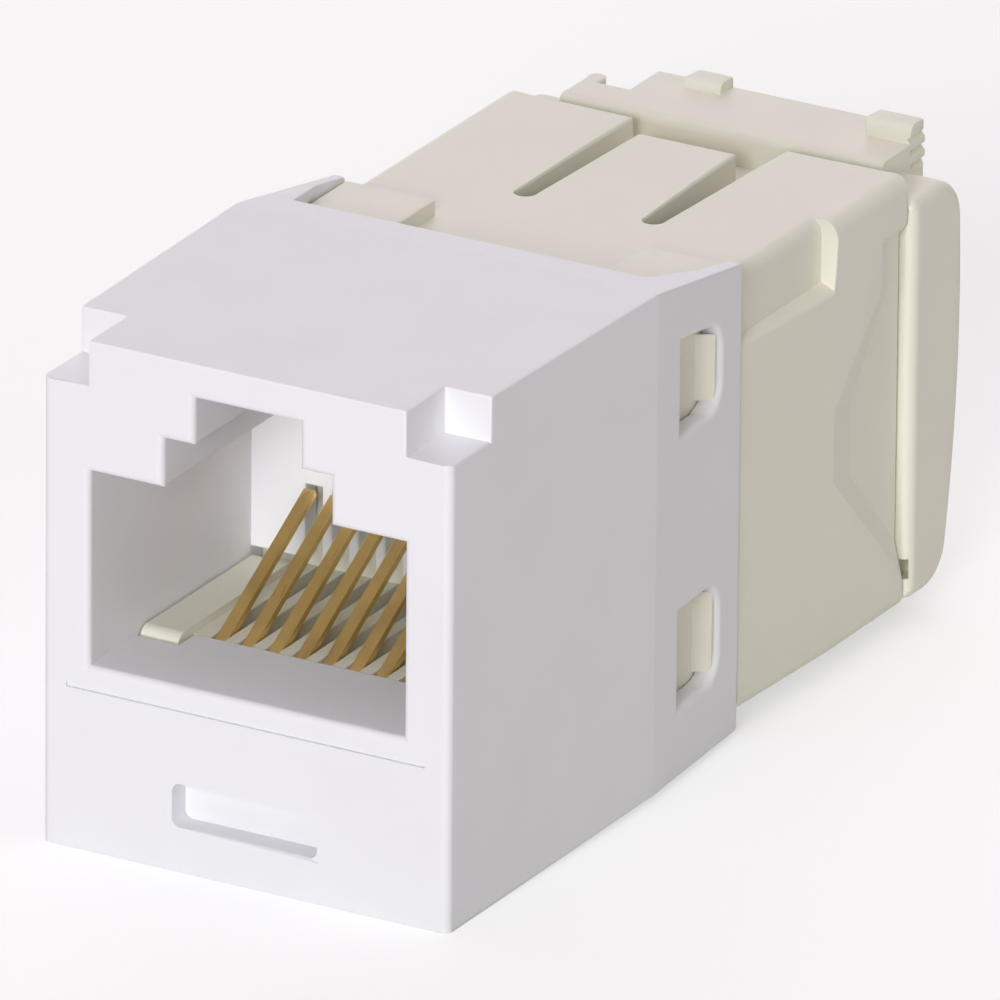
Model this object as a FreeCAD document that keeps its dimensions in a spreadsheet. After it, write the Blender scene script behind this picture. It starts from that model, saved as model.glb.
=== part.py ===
"""Keystone ethernet jack: front housing, contact sled, spring contacts, board, wire contacts, rear body and cap.

Millimetres. X runs across the face, Y from the face to the back, Z up. Depths are measured from the face, and
every body is then set back by half the length, so the origin is the middle of the underside.
"""
import os

import FreeCAD
import Part
import Sketcher

doc = FreeCAD.newDocument("ethernet_jack")

SIZES = (
    ("port_width", 11.9, "plug port, width"),
    ("port_floor", 6.6, "plug port, height of its floor"),
    ("port_height", 6.88, "plug port, floor to ceiling"),
    ("key_width", 6.32, "latch way, width of its lower step"),
    ("key_height", 1.73, "latch way, height of its lower step"),
    ("latch_width", 4.0, "latch way, width of its upper step"),
    ("latch_height", 1.66, "latch way, height of its upper step"),
    ("port_depth", 10.6, "plug port, depth to the back wall"),
    ("lip_round", 0.25, "plug port, rounding of its mouth"),
    ("side_wall", 1.75, "housing, side wall beside the port"),
    ("top_wall", 1.26, "housing, wall above the latch way"),
    ("back_wall", 0.8, "wall behind the plug port, thickness"),
    ("back_gap", 0.5, "wall behind the plug port, gap above the floor"),
    ("catch_wall", 2.38, "front wall that the plug's latch catches behind"),
    ("catch_length", 3.6, "latch recess, length behind the catch wall"),
    ("catch_rise", 0.3, "latch recess, height above the upper step"),
    ("corner_round", 0.3, "housing, rounding of the upright corners"),
    ("notch_width", 1.69, "top corner notch, across"),
    ("notch_depth", 2.52, "top corner notch, front to back"),
    ("notch_drop", 1.62, "top corner notch, height"),
    ("groove_edge", 0.91, "face groove, distance of its ends from the sides"),
    ("groove_drop", 0.81, "face groove, distance below the port's floor"),
    ("groove_width", 0.16, "face groove, width"),
    ("groove_depth", 0.12, "face groove, depth"),
    ("icon_width", 5.5, "icon pocket, width"),
    ("icon_height", 1.55, "icon pocket, height"),
    ("icon_level", 1.6, "icon pocket, height of its lower edge"),
    ("icon_depth", 0.9, "icon pocket, depth"),
    ("icon_round", 0.3, "icon pocket, corner radius"),
    ("crease_run", 1.7, "housing, crease round the collar behind the back wall"),
    ("crease_flare", 0.32, "housing, widening of each side towards the crease"),
    ("crease_rise", 0.19, "housing, rise of the underside towards the crease"),
    ("collar_length", 6.4, "collar, length behind the crease"),
    ("collar_inset", 0.09, "collar, inset of its right side at the end from the face"),
    ("collar_drop", 1.19, "collar, drop of the top at its end"),
    ("collar_wall", 0.56, "collar, right side wall at its end"),
    ("ear_wall", 0.5, "collar, left side wall"),
    ("sleeve_floor", 1.15, "collar, height of its floor inside"),
    ("roof_wall", 1.13, "collar, roof thickness at the crease"),
    ("roof_run", 1.9, "collar, length of roof and floor behind the crease"),
    ("gusset", 0.6, "collar, width of the gusset at each end of the roof"),
    ("gusset_run", 2.6, "collar, length of those gussets"),
    ("window_start", 1.85, "collar window, distance behind the crease"),
    ("window_length", 2.95, "collar window, length"),
    ("window_height", 3.45, "collar window, height"),
    ("window_sill", 1.5, "lower collar window, distance from the collar's floor"),
    ("window_head", 1.2, "upper collar window, distance from the collar's roof"),
    ("window_fall", 0.5, "upper collar window, fall of its top edge"),
    ("window_round", 0.95, "collar window, rounding of the back corners"),
    ("window_lip", 0.25, "collar window, rounding of the outer edges"),
    ("seat_gap", 0.05, "clearance between pieces that stay put"),
    ("slide_gap", 0.12, "clearance of the cap in the rear body"),
    ("cut_margin", 1.0, "length by which an open cut runs past the material"),
    ("tray_drop", 0.05, "sled, tray below the port's floor"),
    ("tray_thick", 1.95, "sled, tray thickness"),
    ("tray_front", 4.3, "sled, depth of the comb's front edge"),
    ("channel_depth", 1.15, "sled, depth of the contact channels"),
    ("finger_reach", 1.05, "sled, side fingers ahead of the comb"),
    ("finger_gap", 0.65, "sled, distance of the fingers from the outer contacts"),
    ("finger_rise", 0.25, "sled, fingers above the port's floor"),
    ("finger_round", 0.2, "sled, rounding of the fingers' front ends"),
    ("flange_thick", 0.6, "sled, back flange thickness"),
    ("flange_height", 7.4, "sled, back flange height"),
    ("contact_pitch", 1.02, "spring contact, spacing"),
    ("contact_width", 0.46, "spring contact, width"),
    ("contact_thick", 0.26, "spring contact, thickness"),
    ("contact_bend", 0.3, "spring contact, inner radius of the front bend"),
    ("contact_angle", 30.0, "spring contact, slope of the free beam in degrees"),
    ("contact_tip", 0.25, "spring contact, tip ahead of the back wall"),
    ("comb_gap", 0.07, "back wall, clearance of each contact in its slot"),
    ("board_thick", 1.2, "circuit board, thickness"),
    ("board_inset", 0.3, "circuit board, gap to the collar's inside"),
    ("pin_out", 0.3, "spring contact, length of its tail behind the board"),
    ("wire_edge", 1.3, "wire contact, distance of the outer ones from the hollow's side"),
    ("wire_pitch", 2.1, "wire contact, distance from outer to inner ones"),
    ("wire_below", 0.6, "wire contact, lower row below the spring contacts"),
    ("wire_head", 2.8, "wire contact, upper row below the hollow's roof"),
    ("blade_width", 1.5, "wire contact, width of the blade"),
    ("blade_thick", 0.4, "wire contact, thickness"),
    ("blade_reach", 7.4, "wire contact, blade length behind the carrier"),
    ("fork_slot", 0.3, "wire contact, width of the fork's slot"),
    ("fork_depth", 3.4, "wire contact, depth of the fork's slot"),
    ("fork_mouth", 0.9, "wire contact, width of the fork's mouth"),
    ("pin_width", 0.6, "wire contact, width of its board pin"),
    ("carrier_start", 3.6, "rear body, hollow between board and carrier wall"),
    ("carrier_thick", 4.0, "rear body, carrier wall thickness"),
    ("body_reach", 11.0, "rear body, length behind the collar"),
    ("body_drop", 0.67, "rear body, top below the collar's roof"),
    ("body_step", 0.4, "rear body, underside below the collar's floor"),
    ("neck_step", 0.06, "rear body, inset of its right side from the collar's end"),
    ("body_swell", 0.25, "rear body, widening of its right side towards the back"),
    ("ear_step", 0.22, "rear body, inset of its left side from the collar"),
    ("shoulder_round", 0.55, "rear body, rounding of the top edges"),
    ("foot_round", 0.5, "rear body, rounding of the bottom edges"),
    ("pad_gap", 0.12, "rear body, top pads below the collar's roof"),
    ("pad_inside", 4.0, "rear body, distance of the top pads from the middle"),
    ("pad_end", 0.1, "rear body, top pads ahead of the collar's end"),
    ("panel_run", 6.1, "side panel, length behind the collar"),
    ("panel_step", 0.35, "side panel, depth in the right side"),
    ("panel_drop", 2.58, "side panel, shelf below the top"),
    ("panel_fall", 0.35, "side panel, fall of its shelf"),
    ("panel_round", 0.5, "side panel, rounding of its top edge"),
    ("body_wall", 0.8, "rear body, wall beside the hollow for the cap"),
    ("floor_wall", 0.8, "rear body, wall under that hollow"),
    ("tongue_thick", 1.33, "rear body, wall above that hollow"),
    ("tongue_front", 3.16, "tongue, distance of its root behind the collar"),
    ("tongue_width", 4.1, "tongue, width at its root"),
    ("tongue_tip", 3.78, "tongue, width at its free end"),
    ("tongue_slot", 0.8, "tongue, width of the slot on each side"),
    ("tongue_flare", 0.45, "tongue, widening of the right slot towards the back"),
    ("tongue_end", 1.17, "tongue, free end ahead of the body's back edge"),
    ("lug_inset", 0.05, "snap lug, crest inside the collar's outer side"),
    ("lug_ramp", 0.12, "snap lug, length of its ramp"),
    ("lug_crest", 0.1, "snap lug, length of its crest"),
    ("lug_gap", 0.3, "snap lug, clearance in the window"),
    ("scoop_depth", 0.3, "side scoop, depth"),
    ("scoop_point", 4.95, "side scoop, distance of its point from the body's back edge"),
    ("scoop_neck", 1.8, "side scoop, distance of its top from the body's back edge"),
    ("scoop_foot", 1.07, "side scoop, foot above the body's underside"),
    ("scoop_flank", 5.18, "side scoop, rise from the foot to its point"),
    ("scoop_blunt", 2.67, "side scoop, height of its point"),
    ("scoop_shoulder", 3.13, "side scoop, rise from its point to the neck"),
    ("scoop_head", 1.8, "side scoop, height of the neck"),
    ("scoop_bevel", 1.7, "side scoop, width of the bevel at its point"),
    ("scoop_neck_bevel", 0.85, "side scoop, width of the bevel at the neck"),
    ("scoop_fall", 0.4, "side scoop, fall of the bevel's upper corners"),
    ("scoop_lift", 1.2, "side scoop, rise of the bevel at the foot"),
    ("cap_reach", 4.7, "cap, length behind the rear body"),
    ("cap_lip", 1.0, "cap, top plate's lip behind the rear body"),
    ("cap_drop", 0.23, "cap, top plate below the rear body's top"),
    ("cap_rise", 0.55, "cap, underside above the rear body's"),
    ("cap_nose", 5.5, "cap, length of the nose inside the rear body"),
    ("plate_step", 0.2, "cap, inset of the top plate from the hollow's side"),
    ("lip_edge", 0.35, "cap, rounding of its top lip"),
    ("wing_step", 0.2, "cap, wings outside the rear body"),
    ("wing_root", 0.5, "cap, depth of the wings in the plate"),
    ("wing_drop", 0.93, "cap, wings' top below the rear body's"),
    ("wing_lift", 0.2, "cap, wings' foot above the rear body's"),
    ("wing_top", 3.37, "cap, length of the wings at the top"),
    ("wing_foot", 2.46, "cap, length of the wings at the foot"),
    ("wing_bow", 48.0, "cap, radius of the wings' bowed back edge"),
    ("wing_corner", 1.6, "cap, corner radius of the wings"),
    ("wing_round", 0.4, "cap, rounding of the wings' outer edges"),
    ("wing_front", 0.18, "cap, rounding of the wings' front edges"),
    ("foot_pocket", 0.7, "cap, height of the pocket at each wing's foot"),
    ("pocket_level", 1.0, "cap, that pocket above the rear body's underside"),
    ("pocket_depth", 0.8, "cap, depth of that pocket"),
    ("pocket_skin", 0.15, "cap, wall outside that pocket"),
    ("cable_bore", 6.4, "cap, diameter of the cable entry"),
    ("wire_slot", 1.1, "cap, width of each wire slot"),
    ("wire_lay", 2.6, "cap, depth of each wire slot in the nose"),
    ("trim_edge", 0.6, "cap, distance of the wire notch from the plate's side"),
    ("trim_width", 1.15, "cap, width of the wire notch in the back edge"),
    ("trim_depth", 2.0, "cap, depth of that notch"),
    ("corner_cut", 1.35, "cap, corner beside the notch ahead of the back edge"),
    ("trim_drop", 1.0, "cap, height of the notch and of the corner's cut"),
    ("trim_round", 0.25, "cap, rounding of that corner"),
    ("tab_rise", 0.37, "cap, height of the raised tab"),
    ("tab_offset", 1.5, "cap, distance of the raised tab from the middle"),
    ("tab_width", 1.4, "cap, width of the raised tab"),
    ("tab_length", 1.0, "cap, length of the raised tab"),
    ("post_rise", 0.66, "cap, height of the corner post"),
    ("post_width", 1.75, "cap, width of the corner post"),
    ("post_length", 1.0, "cap, length of the corner post"),
    ("post_end", 0.7, "cap, corner post ahead of the back edge"),
    ("rib_pitch", 0.5, "cap, spacing of the finger grooves on the post"),
    ("rib_depth", 0.14, "cap, depth of those grooves"),
)

CONTACTS = 8
POST_GROOVES = 3
TOUCH = 1e-3
HALF_ROUND = "half round"

ALONG_X = FreeCAD.Vector(1, 0, 0)
ALONG_Y = FreeCAD.Vector(0, 1, 0)
ALONG_Z = FreeCAD.Vector(0, 0, 1)

dim = doc.addObject("Spreadsheet::Sheet", "dim")
for row, (alias, size, note) in enumerate(SIZES, start=1):
    dim.set(f"A{row}", alias)
    dim.set(f"B{row}", str(size))
    dim.setAlias(f"B{row}", alias)
    dim.set(f"C{row}", note)
doc.recompute()

# Half widths, from the port outwards and then back through the collar to the cap
PORT_HALF = "(dim.port_width / 2)"
FACE_HALF = f"({PORT_HALF} + dim.side_wall)"
CREASE_HALF = f"({FACE_HALF} + dim.crease_flare)"
COLLAR_HALF = f"({FACE_HALF} - dim.collar_inset)"
COLLAR_INSIDE = f"({COLLAR_HALF} - dim.collar_wall)"
SLEEVE_HALF = f"({COLLAR_INSIDE} - dim.seat_gap)"
EAR_INSIDE = f"({CREASE_HALF} - dim.ear_wall)"
EAR_SLEEVE = f"({EAR_INSIDE} - dim.seat_gap)"
BOARD_HALF = f"({COLLAR_INSIDE} - dim.board_inset)"
NECK_HALF = f"({COLLAR_HALF} - dim.neck_step)"
BODY_HALF = f"({NECK_HALF} + dim.body_swell)"
EAR_BODY = f"({CREASE_HALF} - dim.ear_step)"
PANEL_HALF = f"({NECK_HALF} - dim.panel_step)"
HOLLOW_HALF = f"({PANEL_HALF} - dim.body_wall)"
NOSE_HALF = f"({HOLLOW_HALF} - dim.slide_gap)"
PLATE_HALF = f"({HOLLOW_HALF} - dim.plate_step)"
WING_HALF = f"({BODY_HALF} + dim.wing_step)"
WIRE_FAR = f"({HOLLOW_HALF} - dim.wire_edge)"
WIRE_NEAR = f"({WIRE_FAR} - dim.wire_pitch)"

# Heights above the foot of the face
CEILING = "(dim.port_floor + dim.port_height)"
LATCH_STEP = f"({CEILING} + dim.key_height)"
CROWN = f"({LATCH_STEP} + dim.latch_height)"
HEIGHT = f"({CROWN} + dim.top_wall)"
COLLAR_ROOF = f"({HEIGHT} - dim.roof_wall)"
SLEEVE_FOOT = "(dim.sleeve_floor + dim.seat_gap)"
BODY_TOP = f"({COLLAR_ROOF} - dim.body_drop)"
BODY_FOOT = "(dim.sleeve_floor - dim.body_step)"
HOLLOW_ROOF = f"({BODY_TOP} - dim.tongue_thick)"
HOLLOW_FLOOR = f"({SLEEVE_FOOT} + dim.floor_wall)"
NOSE_TOP = f"({HOLLOW_ROOF} - dim.slide_gap)"
NOSE_FOOT = f"({HOLLOW_FLOOR} + dim.slide_gap)"
CAP_TOP = f"({BODY_TOP} - dim.cap_drop)"
CAP_FOOT = f"({BODY_FOOT} + dim.cap_rise)"
TRAY_TOP = "(dim.port_floor - dim.tray_drop)"
TRAY_FOOT = f"({TRAY_TOP} - dim.tray_thick)"
CONTACT_LEVEL = f"({TRAY_TOP} - dim.channel_depth)"
WIRE_LOW = f"({CONTACT_LEVEL} - dim.wire_below)"
WIRE_HIGH = f"({HOLLOW_ROOF} - dim.wire_head)"
LOWER_SILL = "(dim.sleeve_floor + dim.window_sill)"
LOWER_HEAD = f"({LOWER_SILL} + dim.window_height)"
UPPER_HEAD = f"({COLLAR_ROOF} - dim.window_head)"
UPPER_SILL = f"({UPPER_HEAD} - dim.window_height)"

# Depths behind the face
BACK_FACE = "(dim.port_depth + dim.back_wall)"
CREASE = f"({BACK_FACE} + dim.crease_run)"
ROOF_END = f"({CREASE} + dim.roof_run)"
COLLAR_END = f"({CREASE} + dim.collar_length)"
WINDOW_FRONT = f"({CREASE} + dim.window_start)"
WINDOW_BACK = f"({WINDOW_FRONT} + dim.window_length)"
FLANGE_FRONT = f"({BACK_FACE} + dim.seat_gap)"
FLANGE_BACK = f"({FLANGE_FRONT} + dim.flange_thick)"
BOARD_FRONT = f"({FLANGE_BACK} + dim.seat_gap)"
BOARD_BACK = f"({BOARD_FRONT} + dim.board_thick)"
BODY_FRONT = f"({BOARD_BACK} + dim.seat_gap)"
CARRIER_FRONT = f"({BODY_FRONT} + dim.carrier_start)"
CARRIER_BACK = f"({CARRIER_FRONT} + dim.carrier_thick)"
BLADE_END = f"({CARRIER_BACK} + dim.blade_reach)"
NECK_FRONT = f"({COLLAR_END} + dim.seat_gap)"
PANEL_BACK = f"({COLLAR_END} + dim.panel_run)"
BODY_BACK = f"({COLLAR_END} + dim.body_reach)"
NOSE_FRONT = f"({BODY_BACK} - dim.cap_nose)"
CAP_FRONT = f"({BODY_BACK} + dim.seat_gap)"
PLATE_FRONT = f"({BODY_BACK} + dim.cap_lip)"
CAP_BACK = f"({BODY_BACK} + dim.cap_reach)"

# Spring contact: front bend, and the free beam up to its tip before the back wall
CONTACT_FIRST = f"(-dim.contact_pitch * {(CONTACTS - 1) / 2})"
CONTACT_SLOPE = "dim.contact_angle * 1 deg"
BEND_OUTER = "(dim.contact_bend + dim.contact_thick)"
BEND_DEPTH = f"(dim.tray_front + dim.seat_gap + {BEND_OUTER})"
BEND_LEVEL = f"({CONTACT_LEVEL} + {BEND_OUTER})"
BEAM_START = f"({BEND_DEPTH} - {BEND_OUTER} * sin({CONTACT_SLOPE}))"
BEAM_FOOT = f"({BEND_LEVEL} + {BEND_OUTER} * cos({CONTACT_SLOPE}))"
BEAM_RUN = f"(dim.port_depth - dim.contact_tip - {BEAM_START})"
BEAM_RISE = f"({BEAM_RUN} * tan({CONTACT_SLOPE}))"
CONTACT_HEAD = f"({BEAM_FOOT} + {BEAM_RISE})"


def new_body(label, across="0", level="0"):
    """Body of one piece, set back by half the jack's length."""
    body = doc.addObject("PartDesign::Body", label)
    body.Label = label
    body.setExpression("Placement.Base.x", across)
    body.setExpression("Placement.Base.y", f"-{CAP_BACK} / 2")
    body.setExpression("Placement.Base.z", level)
    doc.recompute()
    return body


def origin_feature(body, role):
    """Origin plane or axis of the body by its role."""
    return next(item for item in body.Origin.OriginFeatures if item.Role == role)


def measure(body, text):
    """Present value of an expression over the sheet."""
    return float(body.evalExpression(text))


def arc_bulge(body, curve, start, end):
    """Height of an arc over its chord, positive to the left of the run from start to end."""
    half_chord = (end - start).Length / 2
    if curve == HALF_ROUND:
        return half_chord
    radius = measure(body, curve)
    height = abs(radius) - (radius ** 2 - half_chord ** 2) ** 0.5
    return -height if radius > 0 else height


def add_outline(body, sketch, corners):
    """Closed loop of straight runs, or arcs where a corner also names the curve to the next corner.

    The curve is a radius, which turns left, or right when it is negative, or a half round on a level run.
    """
    first = sketch.GeometryCount
    count = len(corners)
    places = [FreeCAD.Vector(measure(body, c[0]), measure(body, c[1]), 0) for c in corners]
    turned = set()
    for index, corner in enumerate(corners):
        start, end = places[index], places[(index + 1) % count]
        if len(corner) == 2:
            sketch.addGeometry(Part.LineSegment(start, end), False)
            continue
        bulge = arc_bulge(body, corner[2], start, end)
        left = FreeCAD.Vector(start.y - end.y, end.x - start.x, 0).normalize()
        sketch.addGeometry(Part.Arc(start, (start + end) / 2 + left * bulge, end), False)
        if bulge > 0:
            turned.add(index)
    for index in range(count):
        after = (index + 1) % count
        tail = 1 if index in turned else 2
        head = 2 if after in turned else 1
        sketch.addConstraint(Sketcher.Constraint("Coincident", first + index, tail, first + after, head))
    for index, corner in enumerate(corners):
        head = 2 if index in turned else 1
        place = places[index]
        tie_place(sketch, first + index, head, (corner[0], corner[1]), place)
        if len(corner) == 3 and corner[2] == HALF_ROUND:
            tie(sketch, Sketcher.Constraint("DistanceY", -1, 1, first + index, 3, place.y), corner[1])
        elif len(corner) == 3:
            radius = abs(measure(body, corner[2]))
            tie(sketch, Sketcher.Constraint("Radius", first + index, radius), f"abs({corner[2]})")


def tie(sketch, constraint, text):
    """Add a constraint whose value follows the sheet."""
    number = sketch.addConstraint(constraint)
    sketch.setExpression(f"Constraints[{number}]", text)


def tie_place(sketch, item, point, texts, place):
    """Hold a point of an outline at two distances from the sketch's origin."""
    tie(sketch, Sketcher.Constraint("DistanceX", -1, 1, item, point, place.x), texts[0])
    tie(sketch, Sketcher.Constraint("DistanceY", -1, 1, item, point, place.y), texts[1])


def add_circle(body, sketch, across, up, diameter):
    """Circle with its centre and diameter tied to the sheet."""
    centre = FreeCAD.Vector(measure(body, across), measure(body, up), 0)
    width = measure(body, diameter)
    ring = sketch.addGeometry(Part.Circle(centre, ALONG_Z, width / 2), False)
    tie_place(sketch, ring, 3, (across, up), centre)
    tie(sketch, Sketcher.Constraint("Diameter", ring, width), diameter)


def new_sketch(body, name, plane, offset, outlines):
    """Sketch on one of the body's own planes, moved along that plane's normal."""
    sketch = body.newObject("Sketcher::SketchObject", name)
    sketch.AttachmentSupport = (origin_feature(body, plane), [""])
    sketch.MapMode = "FlatFace"
    sketch.setExpression("AttachmentOffset.Base.z", offset)
    for outline in outlines:
        add_outline(body, sketch, outline)
    doc.recompute()
    return sketch


def box_outline(left, right, low, high):
    """Four corners of an upright rectangle."""
    return [(left, low), (right, low), (right, high), (left, high)]


def centred_box(across, up, wide, high):
    """Rectangle round a middle point, from its two half sizes."""
    return box_outline(f"{across} - {wide}", f"{across} + {wide}", f"{up} - {high}", f"{up} + {high}")


def mirrored_box(inner, outer, low, high):
    """The same rectangle on both sides of the middle."""
    return [box_outline(inner, outer, low, high), box_outline(f"-{outer}", f"-{inner}", low, high)]


def finish(body, feature):
    """Make the feature the body's latest and stop if it failed."""
    body.Tip = feature
    doc.recompute()
    if feature.Shape.isNull() or not feature.Shape.isValid():
        raise RuntimeError(f"{body.Label}: {feature.Name} failed")
    return feature


def changed(body, feature, before, sign):
    """Finish a feature and make sure that it added or removed something."""
    finish(body, feature)
    if sign * (feature.Shape.Volume - before) <= 0:
        raise RuntimeError(f"{body.Label}: {feature.Name} did nothing")
    return feature


def extrude(body, kind, name, sketch, length, flip, both):
    """Pad or pocket of a sketch to a length, on one side of it or evenly on both."""
    before = body.Tip.Shape.Volume if body.Tip else 0.0
    feature = body.newObject(f"PartDesign::{kind}", name)
    feature.Profile = sketch
    feature.setExpression("Length", length)
    feature.Reversed = flip
    feature.SideType = "Symmetric" if both else "One side"
    return changed(body, feature, before, 1 if kind == "Pad" else -1)


def pad(body, name, sketch, length, flip=False, both=False):
    """Add the sketch's outline drawn out to a length."""
    return extrude(body, "Pad", name, sketch, length, flip, both)


def pocket(body, name, sketch, length, flip=False, both=False):
    """Cut the sketch's outline to a depth."""
    return extrude(body, "Pocket", name, sketch, length, flip, both)


def pad_back(body, name, outlines, start, end):
    """Add upright outlines between two depths."""
    sketch = new_sketch(body, f"{name}_outline", "XZ_Plane", f"-({start})", outlines)
    return pad(body, name, sketch, f"{end} - ({start})", flip=True)


def cut_back(body, name, outlines, start, end):
    """Cut upright outlines between two depths."""
    sketch = new_sketch(body, f"{name}_outline", "XZ_Plane", f"-({start})", outlines)
    return pocket(body, name, sketch, f"{end} - ({start})")


def cut_down(body, name, outlines, top, foot):
    """Cut flat outlines between two heights."""
    sketch = new_sketch(body, f"{name}_outline", "XY_Plane", top, outlines)
    return pocket(body, name, sketch, f"{top} - ({foot})")


def pad_up(body, name, outlines, foot, top):
    """Add flat outlines between two heights."""
    sketch = new_sketch(body, f"{name}_outline", "XY_Plane", foot, outlines)
    return pad(body, name, sketch, f"{top} - ({foot})")


def cut_through_sides(body, name, outlines):
    """Cut side outlines, drawn in depth and height, right across the body."""
    sketch = new_sketch(body, f"{name}_outline", "YZ_Plane", "0", outlines)
    return pocket(body, name, sketch, f"2 * ({WING_HALF} + dim.cut_margin)", both=True)


def cut_loft(body, name, plane, sections):
    """Cut a straight-sided loft through outlines at the given offsets."""
    sketches = [new_sketch(body, f"{name}_{number}", plane, offset, [outline])
                for number, (offset, outline) in enumerate(sections)]
    before = body.Tip.Shape.Volume
    feature = body.newObject("PartDesign::SubtractiveLoft", name)
    feature.Profile = sketches[0]
    feature.Sections = sketches[1:]
    feature.Ruled = True
    return changed(body, feature, before, -1)


def mirror_sides(body, name, feature):
    """Repeat a feature on the other side of the middle."""
    twin = body.newObject("PartDesign::Mirrored", name)
    twin.Originals = [feature]
    twin.MirrorPlane = (origin_feature(body, "YZ_Plane"), [""])
    return finish(body, twin)


def repeat_contacts(body, name, feature):
    """Repeat the first contact's feature along the row of contacts."""
    row = body.newObject("PartDesign::LinearPattern", name)
    row.Originals = [feature]
    row.Direction = (origin_feature(body, "X_Axis"), [""])
    row.setExpression("Length", f"dim.contact_pitch * {CONTACTS - 1}")
    row.Occurrences = CONTACTS
    return finish(body, row)


def fillet(body, name, radius, wanted):
    """Round the edges that the test picks."""
    base = body.Tip
    names = [f"Edge{number}" for number, edge in enumerate(base.Shape.Edges, start=1) if wanted(edge)]
    if not names:
        raise RuntimeError(f"{body.Label}: {name} found no edges")
    feature = body.newObject("PartDesign::Fillet", name)
    feature.Base = (base, names)
    feature.setExpression("Radius", radius)
    return finish(body, feature)


def near(first, second):
    """True for two lengths that are the same."""
    return abs(first - second) < TOUCH


def runs_along(edge, axis):
    """True for a straight edge along one axis."""
    if edge.Curve.TypeId != "Part::GeomLine":
        return False
    return near(abs(edge.tangentAt(edge.FirstParameter).dot(axis)), 1)


def at_depth(edge, depth):
    """True for an edge that lies wholly at one depth."""
    return near(edge.BoundBox.YMin, depth) and near(edge.BoundBox.YMax, depth)


def at_level(edge, level):
    """True for an edge that lies wholly at one height."""
    return near(edge.BoundBox.ZMin, level) and near(edge.BoundBox.ZMax, level)


def port_outline():
    """Mouth of the plug port with the two latch steps above it."""
    key, latch = "(dim.key_width / 2)", "(dim.latch_width / 2)"
    right = [(PORT_HALF, "dim.port_floor"), (PORT_HALF, CEILING), (key, CEILING), (key, LATCH_STEP),
             (latch, LATCH_STEP), (latch, CROWN)]
    return right + [(f"-{across}", up) for across, up in reversed(right)]


def tray_plan(side, finger_side, front, back):
    """Plan of the sled's tray with its two side fingers."""
    finger_front = f"{front} - dim.finger_reach"
    right = [(finger_side, front), (finger_side, finger_front), (side, finger_front), (side, back)]
    return right + [(f"-{across}", depth) for across, depth in reversed(right)]


def make_front_housing():
    """White moulding: flared case, plug port, notches, icon pocket and slotted collar."""
    body = new_body("front_housing")
    plan = [(FACE_HALF, "0"), (CREASE_HALF, CREASE), (COLLAR_HALF, COLLAR_END), (f"-{CREASE_HALF}", COLLAR_END),
            (f"-{CREASE_HALF}", CREASE), (f"-{FACE_HALF}", "0")]
    pad_up(body, "case", [plan], "0", HEIGHT)
    collar_top = [(CREASE, HEIGHT), (COLLAR_END, f"{HEIGHT} - dim.collar_drop"), (COLLAR_END, HEIGHT)]
    underside = [("0", "0"), (COLLAR_END, "0"), (COLLAR_END, "dim.crease_rise"), (CREASE, "dim.crease_rise")]
    cut_through_sides(body, "slopes", [collar_top, underside])
    fillet(body, "upright_corners", "dim.corner_round", lambda e: runs_along(e, ALONG_Z) and at_depth(e, 0))
    notches = mirrored_box(f"({FACE_HALF} - dim.notch_width)", f"({CREASE_HALF} + dim.cut_margin)",
                           f"{HEIGHT} - dim.notch_drop", f"{HEIGHT} + dim.cut_margin")
    cut_back(body, "corner_notches", notches, "0", "dim.notch_depth")
    cut_plug_port(body)
    cut_collar(body)
    cut_face_marks(body)
    return body


def cut_plug_port(body):
    """Plug port with its latch recess, the sled's bay in its floor and the slots in its back wall."""
    cut_back(body, "plug_port", [port_outline()], "0", "dim.port_depth")
    floor, crown, half = (measure(body, text) for text in ("dim.port_floor", CROWN, PORT_HALF))

    def mouth_edge(edge):
        box = edge.BoundBox
        return (at_depth(edge, 0) and box.ZMin > floor - TOUCH and box.ZMax < crown + TOUCH
                and abs(edge.CenterOfMass.x) < half + TOUCH)

    fillet(body, "port_lip", "dim.lip_round", mouth_edge)
    recess = box_outline("-dim.latch_width / 2", "dim.latch_width / 2", f"{CROWN} - dim.catch_rise",
                         f"{CROWN} + dim.catch_rise")
    cut_back(body, "latch_recess", [recess], "dim.catch_wall", "dim.catch_wall + dim.catch_length")
    finger_side = f"({finger_inside()} - dim.seat_gap)"
    bay = tray_plan(PORT_HALF, finger_side, "dim.tray_front - dim.seat_gap", BACK_FACE)
    cut_down(body, "tray_bay", [bay], "dim.port_floor + dim.back_gap", f"{TRAY_FOOT} - dim.seat_gap")
    half_slot = "(dim.contact_width / 2 + dim.comb_gap)"
    slot = box_outline(f"{CONTACT_FIRST} - {half_slot}", f"{CONTACT_FIRST} + {half_slot}", "dim.port_floor",
                       CONTACT_HEAD)
    repeat_contacts(body, "back_comb", cut_back(body, "comb_slot", [slot], "dim.port_depth", BACK_FACE))


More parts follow.
